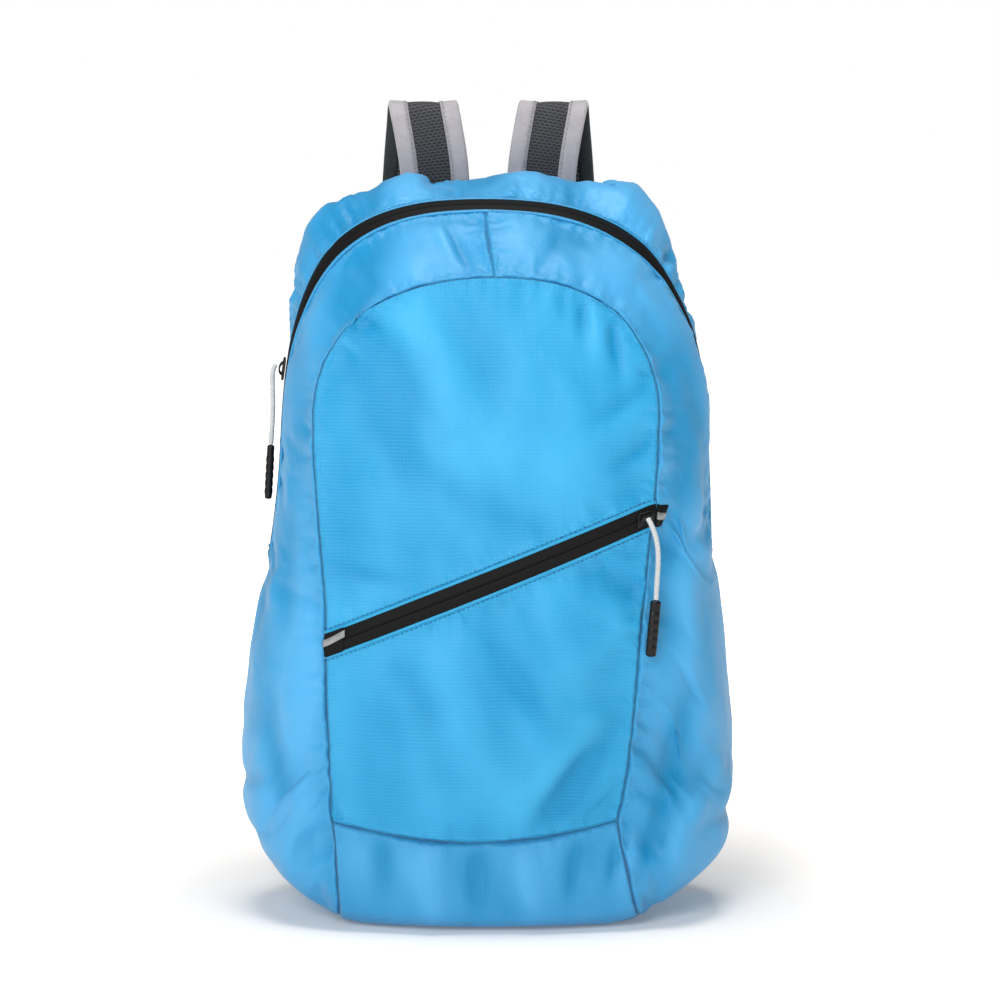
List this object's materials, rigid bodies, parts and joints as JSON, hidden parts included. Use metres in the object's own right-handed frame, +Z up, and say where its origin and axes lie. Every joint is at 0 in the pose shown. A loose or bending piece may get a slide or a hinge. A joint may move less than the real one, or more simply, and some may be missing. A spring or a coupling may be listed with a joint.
{
  "type": "packable backpack",
  "caption": "Light packable daypack of ripstop cloth, standing full, with an arched main zip, a diagonal front pocket zip with cord pulls, and mesh shoulder straps.",
  "frame": {"origin": "on the floor, under the middle of the base's flat face", "axes": "+Z up, -Y the front with the pocket zip, +Y the back panel with the shoulder straps, +X to the viewer's right seen from the front"},
  "size_m": [0.2922, 0.2118, 0.4867],
  "materials": {
    "ripstop": "satin ripstop nylon",
    "plain_cloth": "satin plain-weave nylon",
    "zip_tape": "satin coated tape",
    "mesh": "matt air mesh",
    "binding": "matt woven binding",
    "webbing": "matt webbing",
    "plastic": "matt moulded plastic",
    "cord": "matt braided cord",
    "reflective": "satin reflective tape"
  },
  "bodies": {
    "root": {"front_panel_upper": "ripstop", "front_panel_lower": "ripstop", "pocket_zipper": "zip_tape", "side_gusset_left": "plain_cloth", "side_gusset_right": "plain_cloth", "main_zipper": "zip_tape", "rear_gusset": "plain_cloth", "back_panel": "plain_cloth", "base_panel": "plain_cloth", "strap_pad_left": "mesh", "strap_binding_outer_left": "binding", "strap_binding_inner_left": "binding", "ladder_lock_left": "plastic", "strap_loop_left": "webbing", "adjuster_webbing_left": "webbing", "strap_pad_right": "mesh", "strap_binding_outer_right": "binding", "strap_binding_inner_right": "binding", "ladder_lock_right": "plastic", "strap_loop_right": "webbing", "adjuster_webbing_right": "webbing", "pocket_slider": "plastic", "pocket_pull_cord": "cord", "pocket_pull_grip": "plastic", "main_slider": "plastic", "main_pull_cord": "cord", "main_pull_grip": "plastic", "zip_tab_left": "zip_tape", "reflective_stripe_left": "reflective", "zip_tab_right": "zip_tape", "reflective_stripe_right": "reflective"}
  },
  "joints": []
}
